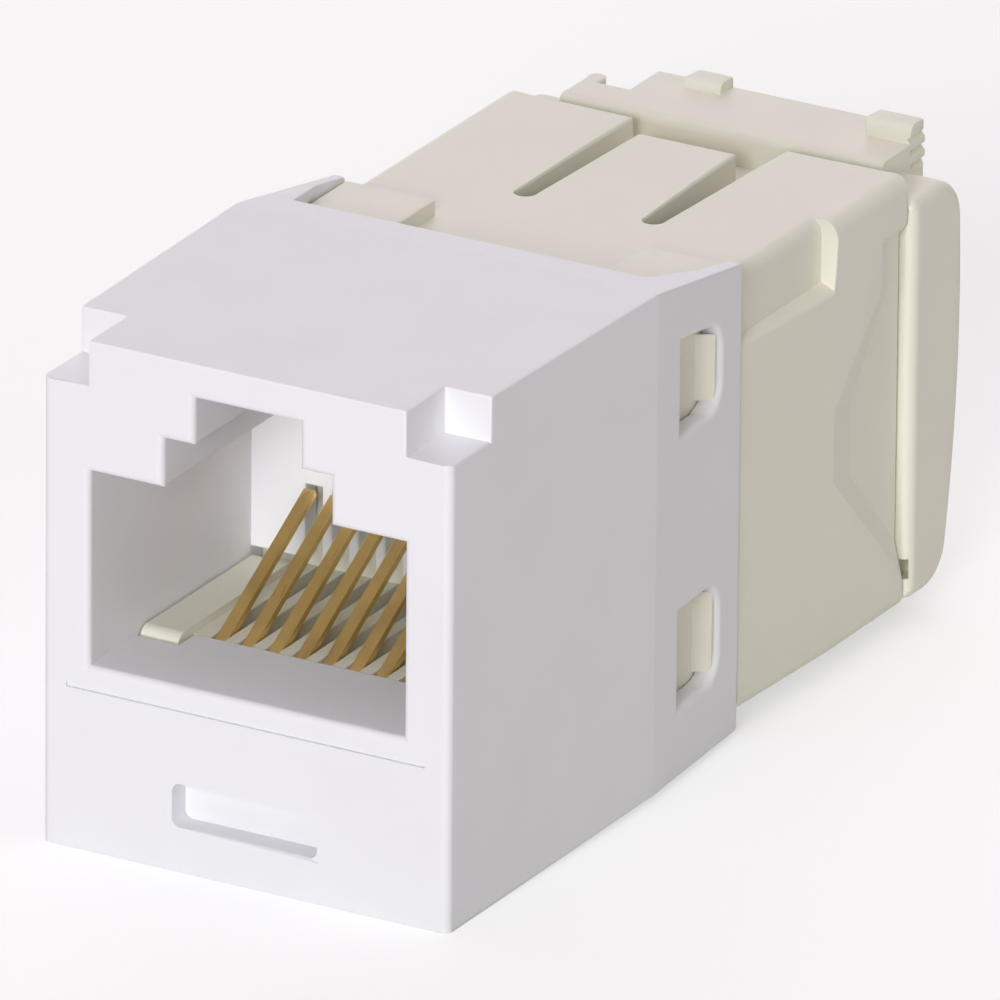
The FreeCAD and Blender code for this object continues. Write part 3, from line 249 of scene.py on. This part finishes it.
def round_edges(piece, test, width, steps):
    """Round the edges that pass a test."""
    if not select_items(piece, "EDGE", test):
        raise RuntimeError(f"{piece.name} has no edge to round")
    bpy.ops.mesh.bevel(offset=width, segments=steps, profile=0.5, affect="EDGES", clamp_overlap=False)


def pick_corners(piece, test):
    """Select the corners that pass a test."""
    if not select_items(piece, "VERT", test):
        raise RuntimeError(f"{piece.name} has no corner to move")


def stretch(piece, test, factors, centre):
    """Stretch the corners that pass a test about a centre."""
    pick_corners(piece, test)
    bpy.ops.transform.resize(value=factors, center_override=centre)


def near(number, place):
    """True where a number lies at a place."""
    return abs(number - place) < NEAR


def soften_edges(piece, width, steps):
    """Round the outer edges of the mesh in edit mode that have room for it."""
    round_edges(piece, lambda edge: edge.is_convex and edge.calc_face_angle() > EDGE_ANGLE
                and has_room(edge, width), width, steps)


def keep_creases(piece):
    """Mark the shallow creases between wide faces, which the smooth shading would blur."""
    select_items(piece, "EDGE", lambda edge: edge.calc_face_angle() > CREASE_ANGLE
                 and narrow_side(edge) > CREASE_REACH)
    bpy.ops.mesh.mark_sharp()


def on_lug(point):
    """True for the crest and the back corners of a snap lug, which end at y = 0 in the solid."""
    return abs(point.x) > LUG_SIDE and LUG_CREST[0] < point.y < LUG_CREST[1]


def shape_body(piece):
    """Let the snap lugs reach the back edge of their windows, with round back corners."""
    pick_corners(piece, lambda corner: on_lug(corner.co))
    bpy.ops.transform.translate(value=(0.0, LUG_REACH, 0.0))
    round_edges(piece, lambda edge: near(edge.verts[0].co.z, edge.verts[1].co.z) and all(
        abs(corner.co.x) > LUG_SIDE and near(corner.co.y, LUG_REACH)
        for corner in edge.verts), LUG_ROUND, ROUND_STEPS)


def cut_box(piece, low, high):
    """Cut the box between two corners out of the mesh in edit mode."""
    bpy.ops.object.mode_set(mode="OBJECT")
    low, high = Vector(low), Vector(high)
    bpy.ops.mesh.primitive_cube_add(size=1.0, location=(low + high) / 2.0, scale=high - low)
    cutter = bpy.context.object
    only_select(piece)
    cut = piece.modifiers.new("cut", "BOOLEAN")
    cut.operation, cut.solver, cut.object = "DIFFERENCE", "EXACT", cutter
    bpy.ops.object.modifier_apply(modifier=cut.name)
    only_select(cutter)
    bpy.ops.object.delete()
    only_select(piece)
    bpy.ops.object.mode_set(mode="EDIT")


def shape_cap(piece):
    """Round the front edges of the wings, the tab and the post further and widen the wings' foot pockets."""
    def on_front(point):
        return abs(point.x) > WING_SIDE - WING_BAND and -NEAR < point.y - WING_FRONT < WING_ROUND + NEAR

    for side in (-WING_SIDE, WING_SIDE):
        stretch(piece, lambda corner: on_front(corner.co) and abs(corner.co.x - side) < WING_ROUND + NEAR
                and WING_ENDS[0] < corner.co.z < WING_ENDS[1], (WING_SOFTER[0], 1.0, 1.0), (side, 0.0, 0.0))
    stretch(piece, lambda corner: on_front(corner.co), (1.0, WING_SOFTER[1], 1.0), (0.0, WING_FRONT, 0.0))
    (inner, front, foot), (outer, back, head) = POCKET_LOW, POCKET_HIGH
    cut_box(piece, (inner, front, foot), (outer, back, head))
    cut_box(piece, (-outer, front, foot), (-inner, back, head))
    for (depth, level), width in ((TAB_EDGE, TAB_ROUND), (POST_EDGE, POST_ROUND)):
        round_edges(piece, lambda edge: all(near(corner.co.y, depth) and near(corner.co.z, level)
                                            for corner in edge.verts), width, ROUND_STEPS)


def shape_sled(piece):
    """Round the front ends of the fingers further."""
    stretch(piece, lambda corner: corner.co.y < FINGER_FRONT + FINGER_ROUND + NEAR
            and corner.co.z > FINGER_TOP - FINGER_ROUND - NEAR,
            (1.0, FINGER_SOFTER, FINGER_SOFTER), (0.0, FINGER_FRONT, FINGER_TOP))


def close_edit(piece):
    """Bring the mesh back to metres, leave edit mode and shade it smooth within its faces."""
    keep_creases(piece)
    scale_mesh(1.0 / MILLIMETRES)
    bpy.ops.object.mode_set(mode="OBJECT")
    bpy.ops.object.shade_smooth_by_angle(angle=SMOOTH_ANGLE, keep_sharp_edges=True)
    weighted = piece.modifiers.new("weighted_normals", "WEIGHTED_NORMAL")
    weighted.keep_sharp = True
    bpy.ops.object.modifier_apply(modifier=weighted.name)


def show_instead(piece, node, body, finish):
    """Give a piece its finish and let it stand for a solid on a body."""
    piece.data.materials.clear()
    piece.data.materials.append(finish)
    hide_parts(node)
    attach(piece, body)


def new_material(name):
    """Node material with its shader, ready for links."""
    material = bpy.data.materials.new(name)
    material.use_nodes = True
    tree = material.node_tree
    return material, tree, tree.nodes["Principled BSDF"]


def add_node(tree, kind, **settings):
    """Node of a kind, with its settings."""
    node = tree.nodes.new(kind)
    for key, value in settings.items():
        setattr(node, key, value)
    return node


def grain(tree, scale, detail, pull=(1.0, 1.0, 1.0)):
    """Noise on the object's own coordinates, in grains per metre, drawn out by a pull."""
    place = add_node(tree, "ShaderNodeTexCoord")
    mapping = add_node(tree, "ShaderNodeMapping")
    mapping.inputs["Scale"].default_value = pull
    noise = add_node(tree, "ShaderNodeTexNoise")
    noise.inputs["Scale"].default_value = scale
    noise.inputs["Detail"].default_value = detail
    tree.links.new(place.outputs["Object"], mapping.inputs["Vector"])
    tree.links.new(mapping.outputs["Vector"], noise.inputs["Vector"])
    return noise.outputs["Fac"]


def spread(tree, source, low, high):
    """Number between two limits, led by a grain."""
    node = add_node(tree, "ShaderNodeMapRange")
    node.inputs["From Min"].default_value, node.inputs["From Max"].default_value = GRAIN_SPAN
    node.inputs["To Min"].default_value = low
    node.inputs["To Max"].default_value = high
    tree.links.new(source, node.inputs["Value"])
    return node.outputs["Result"]


def tint(tree, source, colour, tones):
    """Colour that a grain moves a little darker and lighter."""
    ramp = add_node(tree, "ShaderNodeValToRGB")
    for stop, place, level in zip(ramp.color_ramp.elements, GRAIN_SPAN, tones):
        stop.position = place
        stop.color = (*[min(1.0, part * level) for part in colour], 1.0)
    tree.links.new(source, ramp.inputs["Fac"])
    return ramp.outputs["Color"]


def add_bump(tree, shader, source, strength, depth):
    """Fine relief from a grain."""
    bump = add_node(tree, "ShaderNodeBump")
    bump.inputs["Strength"].default_value = strength
    bump.inputs["Distance"].default_value = depth
    tree.links.new(source, bump.inputs["Height"])
    tree.links.new(bump.outputs["Normal"], shader.inputs["Normal"])


def moulded_plastic(name, colour, roughness):
    """Matt moulded plastic: faint clouding, uneven gloss and a fine spark-eroded grain."""
    material, tree, shader = new_material(name)
    cloud = grain(tree, *PLASTIC_CLOUD)
    fine = grain(tree, *PLASTIC_GRAIN)
    smoother, rougher = (roughness + change for change in PLASTIC_GLOSS)
    tree.links.new(tint(tree, cloud, colour, PLASTIC_TONES), shader.inputs["Base Color"])
    tree.links.new(spread(tree, fine, smoother, rougher), shader.inputs["Roughness"])
    add_bump(tree, shader, fine, *PLASTIC_RELIEF)
    shader.inputs["IOR"].default_value = PLASTIC_IOR
    return material


def plated_metal(name, colour, roughness, pull):
    """Plated strip: drawn lines along the strip and small changes of tone."""
    material, tree, shader = new_material(name)
    lines = grain(tree, *PLATING_LINES, pull)
    cloud = grain(tree, *PLATING_CLOUD)
    smoother, rougher = (roughness + change for change in PLATING_GLOSS)
    tree.links.new(tint(tree, cloud, colour, PLATING_TONES), shader.inputs["Base Color"])
    tree.links.new(spread(tree, lines, smoother, rougher), shader.inputs["Roughness"])
    add_bump(tree, shader, lines, *PLATING_RELIEF)
    shader.inputs["Metallic"].default_value = 1.0
    return material


def lacquered_board(name, colour):
    """Laminate under green lacquer, with a faint weave and brighter runs where the tracks lie."""
    material, tree, shader = new_material(name)
    tracks = grain(tree, *BOARD_TRACKS, TRACK_PULL)
    weave = grain(tree, *BOARD_WEAVE)
    tree.links.new(tint(tree, tracks, colour, BOARD_TONES), shader.inputs["Base Color"])
    tree.links.new(spread(tree, weave, *BOARD_GLOSS), shader.inputs["Roughness"])
    add_bump(tree, shader, weave, *BOARD_RELIEF)
    return material


def dress(node, body, finish, width, steps, change=None):
    """Copy a solid, change its shape where asked, soften its edges and show the copy."""
    piece = welded_copy(node, node + "_skin")
    if change:
        change(piece)
    soften_edges(piece, width * MILLIMETRES, steps)
    close_edit(piece)
    show_instead(piece, node, body, finish)


def paint(node, finish):
    """Give a solid that stays in view its finish."""
    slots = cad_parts[node].data.materials
    slots.clear()
    slots.append(finish)


def mix_by_eye(tree, seen, lit):
    """Join two shaders: one that the camera and reflections see, and one that lights the jack."""
    path = add_node(tree, "ShaderNodeLightPath")
    first = add_node(tree, "ShaderNodeMath", operation="MAXIMUM")
    second = add_node(tree, "ShaderNodeMath", operation="MAXIMUM")
    mix = add_node(tree, "ShaderNodeMixShader")
    tree.links.new(path.outputs["Is Camera Ray"], first.inputs[0])
    tree.links.new(path.outputs["Is Glossy Ray"], first.inputs[1])
    tree.links.new(first.outputs["Value"], second.inputs[0])
    tree.links.new(path.outputs["Is Transmission Ray"], second.inputs[1])
    tree.links.new(second.outputs["Value"], mix.inputs["Fac"])
    tree.links.new(lit, mix.inputs[1])
    tree.links.new(seen, mix.inputs[2])
    return mix.outputs["Shader"]


def add_sun(name, strength, direction, spread_angle, colour):
    """Soft sun that shines from a direction."""
    bpy.ops.object.light_add(type="SUN", rotation=Vector(direction).to_track_quat("Z", "Y").to_euler())
    lamp = bpy.context.object
    lamp.name = name
    lamp.data.energy = strength
    lamp.data.angle = math.radians(spread_angle)
    lamp.data.color = colour


class JACK_OT_front_housing(Operator):
    """Soften the white front housing and give it its plastic"""
    bl_idname = "jack.front_housing"
    bl_label = "Front housing"

    def execute(self, context):
        finishes, edges = context.scene.jack_finishes, context.scene.jack_edges
        white = moulded_plastic("white_plastic_moulded", finishes.white, finishes.gloss)
        dress("front_housing", "jack", white, edges.moulding, edges.steps)
        return {"FINISHED"}


class JACK_OT_contact_sled(Operator):
    """Soften the sled in the floor of the port and give it its plastic"""
    bl_idname = "jack.contact_sled"
    bl_label = "Contact sled"

    def execute(self, context):
        finishes, edges = context.scene.jack_finishes, context.scene.jack_edges
        ivory = moulded_plastic("sled_plastic_moulded", finishes.ivory, finishes.gloss)
        dress("contact_sled", "jack", ivory, edges.sled, edges.steps, shape_sled)
        return {"FINISHED"}


class JACK_OT_rear_mouldings(Operator):
    """Soften the rear body and the cap and give them their plastic"""
    bl_idname = "jack.rear_mouldings"
    bl_label = "Rear body and cap"

    def execute(self, context):
        finishes, edges = context.scene.jack_finishes, context.scene.jack_edges
        ivory = moulded_plastic("ivory_plastic_moulded", finishes.ivory, finishes.gloss)
        dress("rear_body", "jack", ivory, edges.moulding, edges.steps, shape_body)
        dress("wire_cap", "cap", ivory, edges.moulding, edges.steps, shape_cap)
        return {"FINISHED"}


class JACK_OT_plug_contacts(Operator):
    """Soften the spring contacts and plate them"""
    bl_idname = "jack.plug_contacts"
    bl_label = "Spring contacts"

    def execute(self, context):
        finishes, edges = context.scene.jack_finishes, context.scene.jack_edges
        gold = plated_metal("gold_plating", finishes.gold, GOLD_ROUGHNESS, GOLD_PULL)
        for node in PLUG_CONTACTS:
            dress(node, "jack", gold, edges.contact, edges.steps)
        return {"FINISHED"}


class JACK_OT_circuit_board(Operator):
    """Lacquer the circuit board"""
    bl_idname = "jack.circuit_board"
    bl_label = "Circuit board"

    def execute(self, context):
        paint("circuit_board", lacquered_board("board_lacquer", context.scene.jack_finishes.mask))
        return {"FINISHED"}


class JACK_OT_wire_contacts(Operator):
    """Plate the forked wire contacts"""
    bl_idname = "jack.wire_contacts"
    bl_label = "Wire contacts"

    def execute(self, context):
        tin = plated_metal("tin_plating", context.scene.jack_finishes.tin, TIN_ROUGHNESS, TIN_PULL)
        for node in WIRE_CONTACTS:
            paint(node, tin)
        return {"FINISHED"}


class JACK_OT_stage(Operator):
    """Set the floor, the light and the camera"""
    bl_idname = "jack.stage"
    bl_label = "Stage"

    def execute(self, context):
        stage = context.scene.jack_stage
        self.add_floor()
        self.add_world(context.scene, stage)
        for name, place in LIGHTS.items():
            add_sun(name, getattr(stage, name), *place)
        self.add_camera(context.scene, stage)
        context.scene.view_settings.view_transform = "Standard"
        return {"FINISHED"}

    def add_floor(self):
        """Pale floor that shows the jack's shadow on white."""
        bpy.ops.object.select_all(action="DESELECT")
        bpy.ops.mesh.primitive_plane_add(size=FLOOR_SIDE, location=(0.0, 0.0, 0.0))
        floor = bpy.context.object
        floor.name = "floor"
        material = bpy.data.materials.new("floor_paper")
        material.use_nodes = True
        tree = material.node_tree
        tree.nodes.clear()
        paper = add_node(tree, "ShaderNodeBsdfDiffuse")
        bounce = add_node(tree, "ShaderNodeBsdfDiffuse")
        for shader, grey in ((paper, FLOOR_PAPER), (bounce, FLOOR_BOUNCE)):
            shader.inputs["Color"].default_value = (grey, grey, grey, 1.0)
        glow = add_node(tree, "ShaderNodeEmission")
        glow.inputs["Strength"].default_value = FLOOR_GLOW
        both = add_node(tree, "ShaderNodeAddShader")
        out = add_node(tree, "ShaderNodeOutputMaterial")
        tree.links.new(paper.outputs["BSDF"], both.inputs[0])
        tree.links.new(glow.outputs["Emission"], both.inputs[1])
        tree.links.new(mix_by_eye(tree, both.outputs["Shader"], bounce.outputs["BSDF"]), out.inputs["Surface"])
        floor.data.materials.append(material)

    def add_world(self, scene, stage):
        """White all round, dimmer where it lights the jack."""
        scene.world = bpy.data.worlds.new("studio")
        scene.world.use_nodes = True
        tree = scene.world.node_tree
        tree.nodes.clear()
        seen = add_node(tree, "ShaderNodeBackground")
        lit = add_node(tree, "ShaderNodeBackground")
        lit.inputs["Strength"].default_value = stage.ambient
        for light in (seen, lit):
            light.inputs["Color"].default_value = (1.0, 1.0, 1.0, 1.0)
        out = add_node(tree, "ShaderNodeOutputWorld")
        both = mix_by_eye(tree, seen.outputs["Background"], lit.outputs["Background"])
        tree.links.new(both, out.inputs["Surface"])

    def add_camera(self, scene, stage):
        """Camera at the picture's own angle."""
        flat = math.cos(stage.elevation)
        back = Vector((math.sin(stage.azimuth) * flat, -math.cos(stage.azimuth) * flat, math.sin(stage.elevation)))
        level = Vector((math.cos(stage.azimuth), math.sin(stage.azimuth), 0.0))
        upright = back.cross(level)
        right = math.cos(stage.roll) * level + math.sin(stage.roll) * upright
        up = back.cross(right)
        target = Vector(stage.aim) + stage.offset[0] * right + stage.offset[1] * up
        bpy.ops.object.camera_add()
        camera = bpy.context.object
        camera.name = "camera"
        camera.data.lens = stage.lens
        camera.data.clip_start = stage.distance * CLIP_SHARE
        camera.matrix_world = Matrix.Translation(target + stage.distance * back) @ Matrix(
            (right, up, back)).transposed().to_4x4()
        scene.camera = camera


class JACK_PT_tools(Panel):
    """Steps that dress the jack, in their order"""
    bl_idname = "JACK_PT_tools"
    bl_label = "Ethernet jack"
    bl_space_type = "VIEW_3D"
    bl_region_type = "UI"
    bl_category = "Jack"

    def draw(self, context):
        for step in STEPS:
            self.layout.operator(step.bl_idname)
        for group in (context.scene.jack_finishes, context.scene.jack_edges, context.scene.jack_stage):
            box = self.layout.box()
            for name in group.bl_rna.properties.keys():
                if name not in {"rna_type", "name"}:
                    box.prop(group, name)


GROUPS = {"jack_finishes": JackFinishes, "jack_edges": JackEdges, "jack_stage": JackStage}
STEPS = (JACK_OT_front_housing, JACK_OT_contact_sled, JACK_OT_plug_contacts, JACK_OT_circuit_board,
         JACK_OT_wire_contacts, JACK_OT_rear_mouldings, JACK_OT_stage)


def register():
    """Add the property groups, the steps and the panel to Blender."""
    for name, group in GROUPS.items():
        bpy.utils.register_class(group)
        setattr(bpy.types.Scene, name, PointerProperty(type=group))
    for item in (*STEPS, JACK_PT_tools):
        bpy.utils.register_class(item)


def unregister():
    """Take them out again."""
    for item in (JACK_PT_tools, *reversed(STEPS)):
        bpy.utils.unregister_class(item)
    for name, group in GROUPS.items():
        delattr(bpy.types.Scene, name)
        bpy.utils.unregister_class(group)


def main():
    """Dress the jack step by step."""
    register()
    bpy.ops.jack.front_housing()
    bpy.ops.jack.contact_sled()
    bpy.ops.jack.plug_contacts()
    bpy.ops.jack.circuit_board()
    bpy.ops.jack.wire_contacts()
    bpy.ops.jack.rear_mouldings()
    bpy.ops.jack.stage()


if __name__ == "__main__":
    main()
